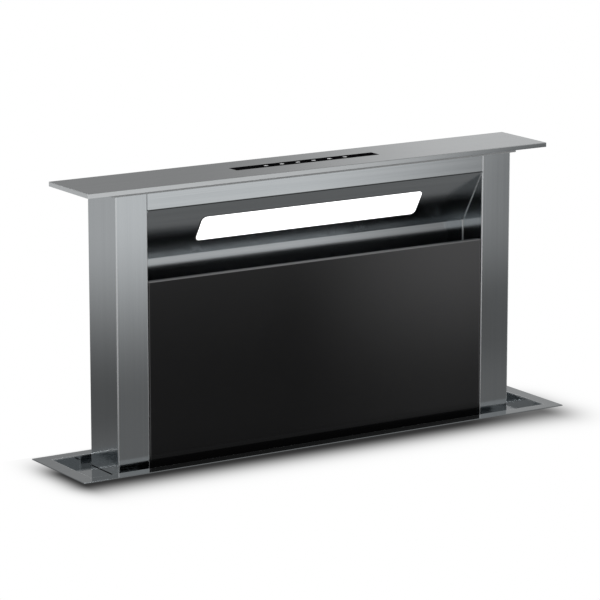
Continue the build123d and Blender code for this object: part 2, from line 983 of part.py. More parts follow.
with BuildPart() as blower_box:
    block(box_x, (box_front, outer_front), box_z)
    block(
        (box_x[0] + housing_sheet, box_x[1] - housing_sheet),
        (box_front + housing_sheet, outer_front),
        (box_z[0] + housing_sheet, box_z[1] - housing_sheet),
        mode=Mode.SUBTRACT,
    )
    with BuildSketch(Plane.XZ.offset(-outer_front)):
        with Locations((0, blower_z)):
            Rectangle(box_width + 2 * box_lip, box_height + 2 * box_lip)
            Rectangle(inner_width, inner_height, mode=Mode.SUBTRACT)
    extrude(amount=housing_sheet)
    with BuildSketch(Plane.YZ.offset(box_x[1] - housing_sheet)):
        with Locations((collar_y, collar_z)):
            Circle(collar_radius)
    extrude(amount=housing_sheet, mode=Mode.SUBTRACT)

# The scroll grows by the same step in each quarter turn, from the tongue to the outlet
scroll_radius = scroll_start + scroll_growth / 2
half_step = scroll_growth / 2
tongue_centre = (half_step, blower_z - half_step)
tongue_radius = scroll_radius - scroll_growth
tongue = (
    tongue_centre[0] + tongue_radius * cos(radians(tongue_angle)),
    tongue_centre[1] + tongue_radius * sin(radians(tongue_angle)),
)
outlet_x = box_x[1] - housing_sheet

with BuildPart() as fan_scroll:
    with BuildSketch(Plane.XZ.offset(-scroll_front)):
        with BuildLine():
            Line((outlet_x, blower_z + outlet_floor), tongue)
            CenterArc(tongue_centre, tongue_radius, tongue_angle, -tongue_angle)
            CenterArc((-half_step, blower_z - half_step), scroll_radius, 0, -90)
            CenterArc(
                (-half_step, blower_z + half_step), scroll_radius + scroll_growth, -90, -90
            )
            CenterArc(
                (half_step, blower_z + half_step), scroll_radius + 2 * scroll_growth, 180, -90
            )
            Line((half_step, blower_z + scroll_end), (outlet_x, blower_z + scroll_end))
            offset(amount=scroll_sheet, side=Side.LEFT)
        make_face()
    extrude(amount=-scroll_depth)
    block(
        (outlet_x, outlet_x + scroll_growth),
        (scroll_front, outer_front),
        box_z,
        mode=Mode.SUBTRACT,
    )
    with BuildSketch(Plane.XZ.offset(-scroll_front)):
        with Locations((0, blower_z)):
            Rectangle(inner_width, inner_height)
            Circle(fan_motor_radius + fan_motor_play, mode=Mode.SUBTRACT)
    extrude(amount=motor_plate_sheet)

# The bellmouth leads the air from the housing into the wheel's eye
blower_axis = Axis((0, 0, blower_z), (0, 1, 0))
throat_y = outer_front - eye_flare
with BuildPart() as inlet_ring:
    with BuildSketch(Plane.XY.offset(blower_z)):
        with BuildLine():
            Line(
                (eye_radius + eye_flare + eye_flange, outer_front),
                (eye_radius + eye_flare, outer_front),
            )
            CenterArc((eye_radius + eye_flare, throat_y), eye_flare, 90, 90)
            Line((eye_radius, throat_y), (eye_radius, throat_y - eye_lip))
            offset(amount=housing_sheet, side=Side.LEFT)
        make_face()
    revolve(axis=blower_axis)

# The wheel: curved blades between a plate with the hub and an open ring
wheel_plane = Plane(origin=(0, wheel_front, blower_z), x_dir=(1, 0, 0), z_dir=(0, 1, 0))
blade_inner = wheel_radius - blade_depth
with BuildSketch() as blade:
    with BuildLine():
        middle_radius = (blade_inner + wheel_radius) / 2
        bow = radians(blade_sweep / 5)
        sweep_end = radians(blade_sweep)
        ThreePointArc(
            (blade_inner, 0),
            (middle_radius * cos(bow), middle_radius * sin(bow)),
            (wheel_radius * cos(sweep_end), wheel_radius * sin(sweep_end)),
        )
        offset(amount=blade_thickness, side=Side.LEFT)
    make_face()

with BuildPart() as fan_wheel:
    with BuildSketch(wheel_plane):
        Circle(wheel_radius + wheel_ring_step)
    extrude(amount=wheel_plate)
    with BuildSketch(wheel_plane):
        with PolarLocations(0, blade_count):
            add(blade.sketch)
    extrude(amount=wheel_width)
    with BuildSketch(wheel_plane.offset(wheel_width - wheel_ring)):
        Circle(wheel_radius + wheel_ring_step)
        Circle(blade_inner - wheel_ring_step, mode=Mode.SUBTRACT)
    extrude(amount=wheel_ring)
    with BuildSketch(wheel_plane):
        Circle(hub_radius)
    extrude(amount=hub_length)
    with BuildSketch(wheel_plane):
        Circle(fan_shaft_radius + fixed_gap)
    extrude(amount=hub_length, mode=Mode.SUBTRACT)

with BuildPart() as fan_shaft:
    with BuildSketch(wheel_plane.offset(-fan_motor_gap - fan_motor_grip)):
        Circle(fan_shaft_radius)
    extrude(amount=fan_motor_grip + fan_motor_gap + hub_length)

with BuildPart() as fan_motor:
    with BuildSketch(wheel_plane.offset(-fan_motor_gap)):
        Circle(fan_motor_radius)
    extrude(amount=-fan_motor_length)
    fillet(fan_motor.edges().filter_by(GeomType.CIRCLE), fan_motor_corner)
    with BuildSketch(Plane.XZ.offset(-scroll_front + motor_plate_sheet)):
        with Locations((0, blower_z)):
            Circle(fan_motor_flange)
    extrude(amount=fan_motor_flange_sheet)
    with BuildSketch(wheel_plane.offset(-fan_motor_gap)):
        Circle(fan_shaft_radius + running_gap)
    extrude(amount=-fan_motor_grip - slide_gap, mode=Mode.SUBTRACT)

# ---- Outlet collar and its damper ----

knuckle_step = knuckle_length + knuckle_gap

pin_x = box_x[1] + flap_setback
collar_plane = Plane(
    origin=(box_x[1], collar_y, collar_z), x_dir=(0, 1, 0), z_dir=(1, 0, 0)
)
stop_end = flap_setback - flap_thickness / 2 - slide_gap

with BuildPart() as outlet_collar:
    with BuildSketch(collar_plane):
        Circle(collar_flange_radius)
        Circle(collar_radius - collar_sheet, mode=Mode.SUBTRACT)
    extrude(amount=collar_sheet)
    with BuildSketch(collar_plane):
        Circle(collar_radius)
        Circle(collar_radius - collar_sheet, mode=Mode.SUBTRACT)
    extrude(amount=collar_length)
    with BuildSketch(collar_plane.offset(stop_end)):
        Circle(collar_radius - collar_sheet)
        Circle(collar_radius - collar_sheet - collar_stop, mode=Mode.SUBTRACT)
    extrude(amount=-collar_sheet)
    with Locations((pin_x, collar_y, collar_z)):
        Cylinder(
            damper_pin_radius + fixed_gap, 2 * collar_radius, mode=Mode.SUBTRACT
        )

with BuildPart() as damper_pin:
    with Locations((pin_x, collar_y, collar_z)):
        Cylinder(damper_pin_radius, 2 * collar_radius - collar_sheet)


def damper_flap(side, first_knuckle):
    """A half disc on two knuckles; side is +1 for the rear flap, -1 for the front one."""
    flap_plane = collar_plane.offset(flap_setback - flap_thickness / 2)
    with BuildPart() as piece:
        with BuildSketch(flap_plane):
            Circle(flap_radius)
            with Locations((-side * (flap_radius - damper_edge), 0)):
                Rectangle(2 * flap_radius, 2 * flap_radius, mode=Mode.SUBTRACT)
        extrude(amount=flap_thickness)
        for sign in (-1, 1):
            middle = collar_z + sign * first_knuckle
            span = (middle - knuckle_length / 2, middle + knuckle_length / 2)
            with Locations((pin_x, collar_y, middle)):
                Cylinder(damper_knuckle, knuckle_length)
            reach = sorted((collar_y, collar_y + side * (damper_edge + damper_weld)))
            block(
                (pin_x - flap_thickness / 2, pin_x + flap_thickness / 2), reach, span
            )
            with Locations((pin_x, collar_y, middle)):
                Cylinder(
                    damper_pin_radius + running_gap, knuckle_length, mode=Mode.SUBTRACT
                )
    return piece


front_damper_flap = damper_flap(-1, knuckle_step / 2)
rear_damper_flap = damper_flap(1, 3 * knuckle_step / 2)

# ---- Electrics ----

control_foot = housing_bottom + control_rise - control_height / 2
control_middle = (control_x, housing_bottom + control_rise)
gland_place = (control_x, outer_front - control_depth / 2)

with BuildPart() as control_box:
    with BuildSketch(Plane.XZ.offset(-outer_front)):
        with Locations(control_middle):
            RectangleRounded(control_width, control_height, control_corner)
    extrude(amount=control_depth)
    with BuildSketch(Plane.XZ.offset(-outer_front + control_wall)):
        with Locations(control_middle):
            RectangleRounded(
                control_width - 2 * control_wall,
                control_height - 2 * control_wall,
                control_corner - control_wall,
            )
    extrude(amount=control_depth - control_wall, mode=Mode.SUBTRACT)
    with BuildSketch(Plane.XY.offset(control_foot)):
        with Locations(gland_place):
            Circle(gland_radius - gland_thread_inset)
    extrude(amount=control_wall, mode=Mode.SUBTRACT)

with BuildPart() as control_lid:
    with BuildSketch(Plane.XZ.offset(control_depth - outer_front)):
        with Locations(control_middle):
            RectangleRounded(control_width, control_height, control_corner)
    extrude(amount=lid_thickness)
    chamfer(control_lid.faces().sort_by(Axis.Y)[0].edges(), lid_bevel)

with BuildPart() as cable_gland:
    with BuildSketch(Plane.XY.offset(control_foot)):
        with Locations(gland_place):
            RegularPolygon(gland_radius, 6)
    extrude(amount=-gland_length / 2)
    with BuildSketch(Plane.XY.offset(control_foot - gland_length / 2)):
        with Locations(gland_place):
            Circle(gland_radius - gland_cap_inset)
    extrude(amount=-gland_length / 2)
    fillet(cable_gland.faces().sort_by(Axis.Z)[0].edges(), gland_cap_inset / 2)
    with BuildSketch(Plane.XY.offset(control_foot)):
        with Locations(gland_place):
            Circle(gland_bore)
    extrude(amount=-gland_length, mode=Mode.SUBTRACT)

with BuildPart() as run_capacitor:
    with BuildSketch(Plane.XY.offset(box_z[1])):
        with Locations((capacitor_x, collar_y)):
            Circle(capacitor_radius)
    extrude(amount=capacitor_length)
    fillet(run_capacitor.faces().sort_by(Axis.Z)[-1].edges(), capacitor_edge)

# ---- Brackets to the cabinet floor ----

leg_x = side_outer + housing_sheet
foot_z = housing_bottom - bracket_drop
foot_middle = leg_x + (bracket_sheet + bracket_foot) / 2

with BuildPart() as floor_brackets:
    bracket_line = (
        (leg_x + bracket_foot, foot_z),
        (leg_x, foot_z),
        (leg_x, foot_z + bracket_height + bracket_drop),
    )
    extrude(
        bent_sheet(Plane.XZ.offset(-bracket_y), bracket_line[::-1], bracket_sheet),
        amount=bracket_width / 2,
        both=True,
    )
    with BuildSketch(Plane.YZ.offset(leg_x)):
        with Locations((bracket_y, sum(bolt_heights) / 2)):
            SlotOverall(slot_length, slot_width, rotation=90)
    extrude(amount=bracket_sheet, mode=Mode.SUBTRACT)
    with Locations((foot_middle, bracket_y, foot_z + bracket_sheet)):
        with GridLocations(0, foot_hole_spacing, 1, 2):
            Hole(foot_hole_radius, depth=bracket_sheet)
    mirror(about=Plane.YZ)

# Each bolt's head bears on the bracket, and its nut on the side panel's inner face
with BuildPart() as bracket_bolts:
    head_x = leg_x + bracket_sheet
    bolt_places = [(bracket_y, height) for height in bolt_heights]
    with BuildSketch(Plane.YZ.offset(head_x)):
        with Locations(*bolt_places):
            RegularPolygon(bolt_flats / 2, 6, major_radius=False)
    extrude(amount=bolt_head)
    with BuildSketch(Plane.YZ.offset(housing_half - bolt_nut)):
        with Locations(*bolt_places):
            Circle(bolt_radius)
    extrude(amount=head_x - housing_half + bolt_nut)
    with BuildSketch(Plane.YZ.offset(housing_half - bolt_nut)):
        with Locations(*bolt_places):
            RegularPolygon(bolt_flats / 2, 6, major_radius=False)
    extrude(amount=bolt_nut)
    mirror(about=Plane.YZ)

pieces = {
    "cap_plate": cap_plate,
    "cap_base": cap_base,
    "cap_seal": cap_seal,
    "touch_glass": touch_glass,
    "touch_board": touch_board,
    "touch_carrier": touch_carrier,
    "worktop_flange": worktop_flange,
    "tower_wiper": tower_wiper,
    "left_column": left_column,
    "right_column": right_column,
    "light_fascia": light_fascia,
    "intake_back_wall": intake_back_wall,
    "rear_panel": rear_panel,
    "lower_panel": lower_panel,
    "carriage_frame": carriage_frame,
    "light_diffuser": light_diffuser,
    "light_box": light_box,
    "led_board": led_board,
    "glass_panel": glass_panel,
    "glass_frame": glass_frame,
    "glass_hooks": glass_hooks,
    "glass_pins": glass_pins,
    "left_grease_filter": left_grease_filter,
    "right_grease_filter": right_grease_filter,
    "left_filter_latch": left_filter_latch,
    "right_filter_latch": right_filter_latch,
    "grease_tray": grease_tray,
    "left_side_panel": left_side_panel,
    "right_side_panel": right_side_panel,
    "front_panel": front_panel,
    "back_panel": back_panel,
    "bottom_pan": bottom_pan,
    "flange_nuts": flange_nuts,
    "guide_rails": guide_rails,
    "guide_shoes": guide_shoes,
    "lift_belts": lift_belts,
    "belt_clamps": belt_clamps,
    "drive_shaft": drive_shaft,
    "drive_pulleys": drive_pulleys,
    "idler_pulleys": idler_pulleys,
    "idler_pins": idler_pins,
    "shaft_bushes": shaft_bushes,
    "lift_gearbox": lift_gearbox,
    "lift_motor": lift_motor,
    "blower_box": blower_box,
    "fan_scroll": fan_scroll,
    "inlet_ring": inlet_ring,
    "fan_wheel": fan_wheel,
    "fan_shaft": fan_shaft,
    "fan_motor": fan_motor,
    "run_capacitor": run_capacitor,
    "outlet_collar": outlet_collar,
    "damper_pin": damper_pin,
    "front_damper_flap": front_damper_flap,
    "rear_damper_flap": rear_damper_flap,
    "control_box": control_box,
    "control_lid": control_lid,
    "cable_gland": cable_gland,
    "floor_brackets": floor_brackets,
    "bracket_bolts": bracket_bolts,
}

os.makedirs("parts", exist_ok=True)
for name, piece in pieces.items():
    piece.part.label = name
    export_step(piece.part, f"parts/{name}.step")
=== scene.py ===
# %% [markdown]
# # A downdraft vent, dressed for the studio
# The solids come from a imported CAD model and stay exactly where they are. This file gives
# each of them a finish, adds the small things that a machine drawing leaves out, and sets up
# a white studio. Everything is in metres, with +Z up and the origin on the worktop.

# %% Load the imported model
import json
import math

import bmesh
import bpy
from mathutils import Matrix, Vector


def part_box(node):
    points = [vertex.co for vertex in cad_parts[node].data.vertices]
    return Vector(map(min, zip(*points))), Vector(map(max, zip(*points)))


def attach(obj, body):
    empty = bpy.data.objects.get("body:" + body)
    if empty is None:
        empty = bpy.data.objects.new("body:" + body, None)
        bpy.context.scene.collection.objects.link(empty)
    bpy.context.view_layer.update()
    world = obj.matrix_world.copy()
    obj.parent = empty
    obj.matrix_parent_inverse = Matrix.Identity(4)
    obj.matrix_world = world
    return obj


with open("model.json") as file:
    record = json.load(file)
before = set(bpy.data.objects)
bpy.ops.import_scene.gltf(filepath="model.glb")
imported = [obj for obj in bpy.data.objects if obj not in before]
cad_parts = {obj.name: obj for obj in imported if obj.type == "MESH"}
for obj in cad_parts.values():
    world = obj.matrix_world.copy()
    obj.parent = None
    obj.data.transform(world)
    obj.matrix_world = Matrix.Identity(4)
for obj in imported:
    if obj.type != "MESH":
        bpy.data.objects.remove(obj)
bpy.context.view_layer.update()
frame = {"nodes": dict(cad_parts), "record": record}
nodes = frame["nodes"]
mm = 0.001
RIGHT, BACK, UP = Vector((1, 0, 0)), Vector((0, 1, 0)), Vector((0, 0, 1))
SIDES = (("left", -1), ("right", 1))

# %% Four small helpers
def into_scene(name, data):
    """A new object with this mesh, lamp or camera, at the origin."""
    made = bpy.data.objects.new(name, data)
    bpy.context.scene.collection.objects.link(made)
    return made

def midpoint(box):
    """The x, y and z of a box's middle."""
    return [(a + b) / 2 for a, b in zip(*box)]

def spread(low, high, count):
    """Evenly spaced numbers from low to high, with both ends."""
    return [low + (high - low) * n / (count - 1) for n in range(count)]

def cleared(owner):
    """The node tree of a new material or world, emptied."""
    owner.use_nodes = True
    owner.node_tree.nodes.clear()
    return owner.node_tree

# %% [markdown]
# ## Node trees as sums
# A finish is arithmetic: a noise times a weight, plus a base value. Written node by node that
# takes pages, so `Field` wraps one socket and lets Python's own operators add the Math nodes.
# `Tree.node` makes every other kind: its settings first, because some settings change which
# sockets a node has, and then its inputs.

# %% A socket that can be added and multiplied
class Field:
    def __init__(self, tree, socket):
        self.tree, self.socket = tree, socket

    def math(self, operation, other=0.0, flipped=False):
        pair = (other, self) if flipped else (self, other)
        return self.tree.field("ShaderNodeMath", {"operation": operation},
                               {0: pair[0], 1: pair[1]})

    def __add__(self, other): return self.math("ADD", other)
    def __radd__(self, other): return self.math("ADD", other, True)
    def __sub__(self, other): return self.math("SUBTRACT", other)
    def __rsub__(self, other): return self.math("SUBTRACT", other, True)
    def __mul__(self, other): return self.math("MULTIPLY", other)
    def __rmul__(self, other): return self.math("MULTIPLY", other, True)
    def __truediv__(self, other): return self.math("DIVIDE", other)
    def __pow__(self, other): return self.math("POWER", other)
    def __abs__(self): return self.math("ABSOLUTE")
    def low(self, other): return self.math("MINIMUM", other)
    def high(self, other): return self.math("MAXIMUM", other)
    def clamped(self): return self.high(0.0).low(1.0)

    def eased(self, start, end):
        """0 before start, 1 after end and smooth between them; start may be the larger."""
        part = ((self - start) * (1.0 / (end - start))).clamped()
        return part * part * (3.0 - 2.0 * part)


def hypotenuse(one, other):
    """The distance that two fields at right angles make together."""
    return (one * one + other * other) ** 0.5

# %% A node tree that takes fields
class Tree:
    def __init__(self, tree):
        self.tree = tree
        self.nodes, self.links = tree.nodes, tree.links

    def node(self, kind, settings=None, sockets=None):
        made = self.nodes.new(kind)
        for name, value in (settings or {}).items():
            setattr(made, name, value)
        for name, value in (sockets or {}).items():
            self.plug(made.inputs[name], value)
        return made

    def plug(self, socket, value):
        if isinstance(value, Field):
            value = value.socket
        if isinstance(value, bpy.types.NodeSocket):
            self.links.new(value, socket)
        else:
            socket.default_value = value

    def field(self, kind, settings=None, sockets=None, out=0):
        return Field(self, self.node(kind, settings, sockets).outputs[out])

    def axes(self, vector):
        parts = self.node("ShaderNodeSeparateXYZ", None, {0: vector}).outputs
        return [Field(self, parts[n]) for n in range(3)]

# %% [markdown]
# ## A finish from one recipe
# Every finish is a Principled shader whose even numbers sit on its own sockets, while what
# varies over the surface comes through `Field` sums. Object coordinates are metres here,
# since every piece keeps its place in its mesh, so a noise scale is in waves per metre.

# %% A finish and its patterns
class Finish(Tree):
    def __init__(self, name, sockets):
        self.material = bpy.data.materials.new(name)
        super().__init__(cleared(self.material))
        self.shader = self.node("ShaderNodeBsdfPrincipled", None, sockets)
        self.node("ShaderNodeOutputMaterial", None, {"Surface": self.shader.outputs[0]})
        self.place = self.node("ShaderNodeTexCoord").outputs["Object"]

    def noise(self, waves, detail=3.0, roughness=0.55):
        """waves is one number, or one for each axis."""
        scale = waves if isinstance(waves, tuple) else (waves,) * 3
        stretched = self.node("ShaderNodeMapping", {"vector_type": "POINT"},
                              {"Vector": self.place, "Scale": scale}).outputs[0]
        return self.field("ShaderNodeTexNoise", None,
                          {"Vector": stretched, "Scale": 1.0, "Detail": detail,
                           "Roughness": roughness})

    def blend(self, mask, low, high):
        """Both colours are (r, g, b) or the result of another blend."""
        pair = [(*c, 1) if isinstance(c, tuple) else c for c in (low, high)]
        mixed = self.node("ShaderNodeMix", {"data_type": "RGBA"},
                          {0: mask, 6: pair[0], 7: pair[1]})
        return mixed.outputs[2]

    def tint(self, colour):
        self.plug(self.shader.inputs["Base Color"], colour)

    def rough(self, value):
        self.plug(self.shader.inputs["Roughness"], value)

    def bump(self, height, strength, distance):
        relief = self.node("ShaderNodeBump", None,
                           {"Height": height, "Strength": strength, "Distance": distance})
        self.plug(self.shader.inputs["Normal"], relief.outputs[0])

# %% [markdown]
# ## Brushed stainless steel
# The visible sheet is belt-ground: long shallow lines that run one way, along X on the cap,
# rail and flange and upright on the columns. Noise stretched along the grain makes the lines,
# and a broader one the streaks. Bent edges get a painted highlight, a colour lighter than the
# faces, and are rougher, so they also catch the lamp above the left as thin light lines; the
# rail's foot gets a painted shade line. On the columns the shader's own anisotropy smears a
# reflection sideways and keeps it sharp in height, as upright lines do.

# %% Brushed steel along a chosen direction
STEEL_DARK, STEEL_LIGHT = (0.415, 0.44, 0.455), (0.575, 0.60, 0.615)
# The first colour is a painted highlight for bends, the second a painted shade line for the
# rail's foot.
BEND_HIGHLIGHT, RAIL_FOOT_SHADE = (0.88, 0.90, 0.91), (0.10, 0.105, 0.11)
BEND_ROUGHNESS = 0.32
LINES, STREAKS = (2.0, 1300.0), (1.2, 190.0)  # waves per metre, along and across the grain
SMUDGES = 7.0
LINES_SHOW, STREAKS_SHOW = 0.9, 1.3

def brushed(name, grain, gloss, depth, edges=None, tone=1.0, contrast=0.7,
            edge_colour=BEND_HIGHLIGHT, **sockets):
    """Steel ground along one axis; edges(x, y, z) is 1 where a bend gets edge_colour, a painted
    highlight or a painted shade.
    """
    steel = Finish(name, {"Metallic": 1.0, **sockets})
    fine, broad = (tuple(along if axis == grain else across for axis in "XYZ")
                   for along, across in (LINES, STREAKS))
    lines = steel.noise(fine, 2.0)
    streaks = steel.noise(broad, 4.0, 0.7)
    smudge = steel.noise(SMUDGES)
    pattern = (lines - 0.5) * LINES_SHOW + (streaks - 0.5) * STREAKS_SHOW
    shade = (pattern * contrast + 0.5).clamped()
    dark, light = (tuple(part * tone for part in colour) for colour in (STEEL_DARK, STEEL_LIGHT))
    colour = steel.blend(shade, dark, light)
    rough = gloss + streaks * 0.05 + smudge * 0.05 - 0.05
    if edges:
        # Painted highlight or painted shade on the bends, which are rougher there too.
        painted_bend = edges(*steel.axes(steel.place))
        colour = steel.blend(painted_bend, colour, edge_colour)
        rough = rough + painted_bend * BEND_ROUGHNESS
    steel.tint(colour)
    steel.rough(rough)
    steel.bump(lines, depth, 0.1 * mm)
    return steel.material

# %% Painted highlights on the columns, the cap and the flange, and painted shade on the rail
column_low, column_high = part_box("right_column")
cap_high, flange_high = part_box("cap_plate")[1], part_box("worktop_flange")[1]
RECESS = (cap_high.x + 1 * mm, cap_high.y + 1 * mm)  # half the width and depth of its mouth
RAIL_FOOT = 422.5 * mm

def column_bends(x, y, z):
    """Painted highlight on the four corners of each column, fainter high on the left one."""
    off_x = abs(abs(x) - column_high.x).low(abs(abs(x) - column_low.x))
    off_y = abs(y - column_low.y).low(abs(y - column_high.y))
    less_on_left = 1 - 0.68 * z.eased(0.10, 0.42) * x.eased(-0.30, -0.36)
    return off_x.high(off_y).eased(2.3 * mm, 1.4 * mm) * less_on_left

def cap_rim(x, y, z):
    """Painted highlight on the cap's edge: on its face it fades out to the right, where its top
    corner takes over.
    """
    inside = (cap_high.x - abs(x)).low(cap_high.y - abs(y))
    to_right = x.eased(-0.10, 0.40)
    on_top = z.eased(cap_high.z - 1.0 * mm, cap_high.z - 0.3 * mm)
    face = inside.eased(1.0 * mm, 0.3 * mm) * (0.58 - 0.58 * to_right)
    return face.high(inside.eased(1.8 * mm, 0.9 * mm) * on_top * to_right * 0.9)

def flange_mouth(x, y, z):
    """Painted highlight on the bend round the mouth of the flange's recess."""
    outward = (abs(x) - RECESS[0]).high(abs(y) - RECESS[1])
    return abs(outward - 0.3 * mm).eased(1.2 * mm, 0.4 * mm) * z.eased(-1.5 * mm, 0.0)

def rail_foot_bend(x, y, z):
    """Painted shade along the bend at the rail's foot, a dark line."""
    return abs(z - RAIL_FOOT).eased(1.5 * mm, 0.6 * mm)

# %% Six brushed steels
# tone scales a copy's whole colour: the slanted sheet's copy is painted lighter, and the cap's
# and the flange's darker, as painted light and painted shade on one steel.
steel_flat = brushed("steel_brushed_flat", "X", gloss=0.12, depth=0.10)
steel_inner = brushed("steel_brushed_inner", "X", gloss=0.12, depth=0.05)
steel_sheet = brushed("steel_brushed_sheet", "X", gloss=0.155, depth=0.08, tone=1.06,
                      edges=rail_foot_bend, edge_colour=RAIL_FOOT_SHADE)
steel_cap = brushed("steel_brushed_cap", "X", gloss=0.12, depth=0.10, tone=0.80, edges=cap_rim)
steel_flange = brushed("steel_brushed_flange", "X", gloss=0.07, depth=0.04, tone=0.85,
                       edges=flange_mouth)
steel_column = brushed("steel_brushed_upright", "Z", gloss=0.13, depth=0.04, contrast=0.4,
                       edges=column_bends, Anisotropic=0.6)
# The four bent finishes carry a painted highlight, and on the rail a painted shade line.
print("six brushed steels, four of them rubbed or creased at their bends")

# %% [markdown]
# ## Black glass, the touch strip and the lit panel
# The front is clear glass printed black on the back: a dark base under a smooth face. Over the
# print lies a painted reflection, lighter towards the upper right and darker at the foot, and
# the edges are ground to a dull grey. The touch strip is black with no gloss of its own, and
# its six round keys are printed in white, drawn from distances in the strip's own plane. The
# light's diffuser is opal plastic, lit from behind.

# %% The glass front
# The first grey is the black print; the lighter grey and the darker foot grey are painted
# reflection.
PRINT_DARK, PAINTED_REFLECTION = (0.0075, 0.0075, 0.0078), (0.068, 0.068, 0.069)
PAINTED_FOOT_SHADE, GROUND_GREY = (0.0030, 0.0030, 0.0032), (0.15, 0.15, 0.152)
glass_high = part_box("glass_panel")[1]
glass = Finish("black_glass", {"IOR": 1.5, "Specular IOR Level": 0.22})
cloud = glass.noise(6.0)
glass_x, _, glass_z = glass.axes(glass.place)

def ground(position, edge):
    """1 on the last 1.1 mm before an edge, where the glass is ground."""
    return position.eased(edge - 1.9 * mm, edge - 1.1 * mm)

# Painted reflection: lighter towards the upper right, darker at the foot.
to_right = glass_x.eased(-0.08, 0.30) * (0.2 + 0.8 * glass_z.eased(0.04, 0.30))
above_foot = glass_z.eased(2 * mm, 22 * mm)
ground_edge = ground(glass_z, glass_high.z).high(ground(abs(glass_x), glass_high.x) * 0.3)
print_and_painted_reflection = glass.blend((to_right + (cloud - 0.5) * 0.06).clamped(), PRINT_DARK, PAINTED_REFLECTION)
glass.tint(glass.blend(above_foot, PAINTED_FOOT_SHADE, glass.blend(ground_edge, print_and_painted_reflection, GROUND_GREY)))
glass.rough(0.05 + cloud * 0.03)

# %% The touch strip and its keys
KEY_COUNT, KEY_PITCH, KEY_RADIUS = 6, 31.2 * mm, 3.7 * mm
KEY_SHIFT = 1.5 * mm  # how far the row stands to the right of the strip's middle
STRIP_BLACK, STRIP_WHITE = (0.003, 0.003, 0.0034), (0.85, 0.86, 0.87)
strip = Finish("touch_strip_printed", {"Specular IOR Level": 0.0})
strip_x, strip_y, _ = strip.axes(strip.place)
key_row = KEY_PITCH * (KEY_COUNT - 1) / 2 - KEY_SHIFT
step = ((strip_x + key_row) / KEY_PITCH).math("ROUND").high(0.0).low(KEY_COUNT - 1.0)
_, keys_y, _ = midpoint(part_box("touch_glass"))
from_key = hypotenuse(strip_x + key_row - step * KEY_PITCH, strip_y - keys_y)
disc = from_key.eased(KEY_RADIUS + 0.2 * mm, KEY_RADIUS - 0.2 * mm)
groove = abs(from_key - KEY_RADIUS * 0.66).eased(0.5 * mm, 0.2 * mm)
strip.tint(strip.blend((disc * (1 - groove)).clamped(), STRIP_BLACK, STRIP_WHITE))
strip.rough(0.22 + strip.noise(30.0) * 0.08)

# %% The light's opal panel
opal = Finish("opal_lit", {"IOR": 1.49, "Emission Strength": 1.35})
grain = opal.noise(700.0, 2.0)
opal.tint(opal.blend(grain, (0.86, 0.87, 0.87), (0.92, 0.93, 0.93)))
opal.rough(0.42 + grain * 0.08)
opal.plug(opal.shader.inputs["Emission Color"],
          opal.blend(opal.noise(4.0), (0.97, 0.985, 1.0), (1.0, 1.0, 1.0)))

# %% [markdown]
# ## The finishes inside
# Zinc-coated sheet has crystals a few millimetres wide, which Voronoi cells give. Turned and
# plated steel is brighter. Plastics and rubber have a fine moulded grain and dull edges.

# %% Zinc-coated sheet
CRYSTALS, DUST = 150.0, 12.0  # cells and waves per metre

def zinc(name, dark, light):
    sheet = Finish(name, {"Metallic": 1.0})
    crystal = sheet.field("ShaderNodeTexVoronoi", {"feature": "F1"},
                          {"Vector": sheet.place, "Scale": CRYSTALS}, "Color")
    tone = sheet.field("ShaderNodeSeparateColor", None, {0: crystal})
    dust = sheet.noise(DUST, 5.0)
    sheet.tint(sheet.blend((tone * 0.7 + dust * 0.3).clamped(), dark, light))
    sheet.rough(0.34 + tone * 0.12 + dust * 0.10)
    sheet.bump(tone, 0.10, 0.2 * mm)
    return sheet.material

# %% Plain metals, plastics and rubber
def worn(name, dark, light, metal, gloss, waves=60.0, relief=0.1):
    body = Finish(name, {"Metallic": metal})
    fine = body.noise(waves * 12)
    broad = body.noise(waves / 4, 4.0)
    body.tint(body.blend((fine * 0.4 + broad * 0.6).clamped(), dark, light))
    body.rough(gloss + broad * 0.12 - 0.03)
    body.bump(fine, relief, 0.2 * mm)
    return body.material

# The welds' steel is much lighter than the sheets: a painted highlight.
seam_steel_highlit = worn("steel_seam_polished", (0.84, 0.86, 0.87), (0.90, 0.92, 0.93), 1.0, 0.36)
grey_rubber = worn("rubber_grey", (0.27, 0.28, 0.285), (0.36, 0.37, 0.375), 0.0, 0.60, 80.0, 0.2)

# %% [markdown]
# ## Which node wears what
# The record names a material slot for every node, and most slots are one finish. Brushed
# steel is the exception: the grain runs along each folded sheet, so it is chosen by node. So
# are the printed strip, the grey seal and the painted frame behind the glass.

# %% One finish for each slot
finish_of_slot = {
    "brushed_steel": steel_flat, "black_glass": glass.material, "opal_plastic": opal.material,
    "galvanised_steel": zinc("zinc_spangle", (0.47, 0.49, 0.51), (0.64, 0.66, 0.68)),
    "bright_steel": worn("steel_bright", (0.58, 0.59, 0.60), (0.74, 0.75, 0.76), 1.0, 0.22),
    "aluminium": worn("aluminium_plain", (0.66, 0.67, 0.69), (0.80, 0.81, 0.82), 1.0, 0.32),
    "bronze": worn("bronze_sintered", (0.42, 0.25, 0.11), (0.56, 0.35, 0.17),
                   1.0, 0.38, 90.0, 0.3),
    "motor_steel": worn("motor_steel_painted", (0.035, 0.037, 0.04), (0.06, 0.062, 0.066),
                        0.3, 0.42),
    "black_rubber": worn("rubber_black", (0.012, 0.012, 0.013), (0.028, 0.028, 0.03),
                         0.0, 0.62, 80.0, 0.3),
    "black_plastic": worn("plastic_black", (0.016, 0.016, 0.018), (0.03, 0.03, 0.033),
                          0.0, 0.40, 100.0, 0.25),
    "white_acetal": worn("acetal_white", (0.78, 0.78, 0.76), (0.88, 0.88, 0.86), 0.0, 0.35),
    "circuit_board": worn("board_green", (0.008, 0.07, 0.03), (0.015, 0.12, 0.05), 0.0, 0.38),
}

